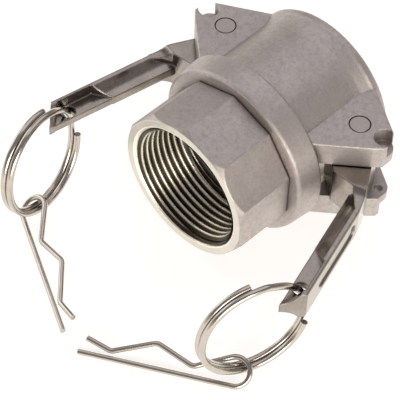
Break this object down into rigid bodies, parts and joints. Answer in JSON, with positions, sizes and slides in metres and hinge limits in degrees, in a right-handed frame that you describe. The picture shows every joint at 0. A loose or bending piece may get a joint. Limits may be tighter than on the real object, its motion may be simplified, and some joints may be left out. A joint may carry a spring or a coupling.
{
  "type": "cam and groove coupler",
  "caption": "Female cam and groove hose coupler with an internal pipe thread, cam levers, split rings and hairpin safety clips.",
  "frame": {"origin": "centre of the socket mouth, on the bore axis", "axes": "+Y out through the socket mouth along the bore, +X to the right-hand lugs, +Z along the pins and upwards as the coupler lies on a table"},
  "size_m": [0.1081, 0.1168, 0.0596],
  "materials": {
    "cast_steel": "fine bead-blasted investment casting",
    "seal_rubber": "matt moulded nitrile rubber",
    "pin_steel": "cut end, lightly turned",
    "arm_steel": "cast and tumbled, slightly glossy",
    "wire_steel": "bright drawn wire"
  },
  "bodies": {
    "coupler": {"body": "cast_steel", "gasket": "seal_rubber", "left_pin": "pin_steel", "right_pin": "pin_steel"},
    "left_lever": {"left_arm": "arm_steel"},
    "right_lever": {"right_arm": "arm_steel"},
    "left_split_ring": {"left_ring": "wire_steel"},
    "right_split_ring": {"right_ring": "wire_steel"},
    "left_safety_clip": {"left_clip": "wire_steel"},
    "right_safety_clip": {"right_clip": "wire_steel"}
  },
  "joints": [
    {"name": "left_arm_pivot", "type": "hinge", "parent": "coupler", "child": "left_lever", "pos_m": [-0.0289, -0.0162, 0], "axis": [0, 0, -1], "range_deg": [-10.5, 89.5]},
    {"name": "right_arm_pivot", "type": "hinge", "parent": "coupler", "child": "right_lever", "pos_m": [0.0289, -0.0162, 0], "axis": [0, 0, 1], "range_deg": [-17.1, 82.9]},
    {"name": "left_ring_swing", "type": "hinge", "parent": "left_lever", "child": "left_split_ring", "pos_m": [-0.04642, -0.06848, 0], "axis": [0, 0, 1], "range_deg": [-16, 4]},
    {"name": "right_ring_swing", "type": "hinge", "parent": "right_lever", "child": "right_split_ring", "pos_m": [0.05231, -0.06612, 0], "axis": [0, 0, -1], "range_deg": [-16, 2]},
    {"name": "left_clip_swing", "type": "hinge", "parent": "left_split_ring", "child": "left_safety_clip", "pos_m": [-0.03961, -0.09039, -0.02297], "axis": [0, 0, 1], "range_deg": [-3, 16]},
    {"name": "right_clip_swing", "type": "hinge", "parent": "right_split_ring", "child": "right_safety_clip", "pos_m": [0.04622, -0.0878, -0.02464], "axis": [0, 0, -1], "range_deg": [-3, 16]}
  ]
}
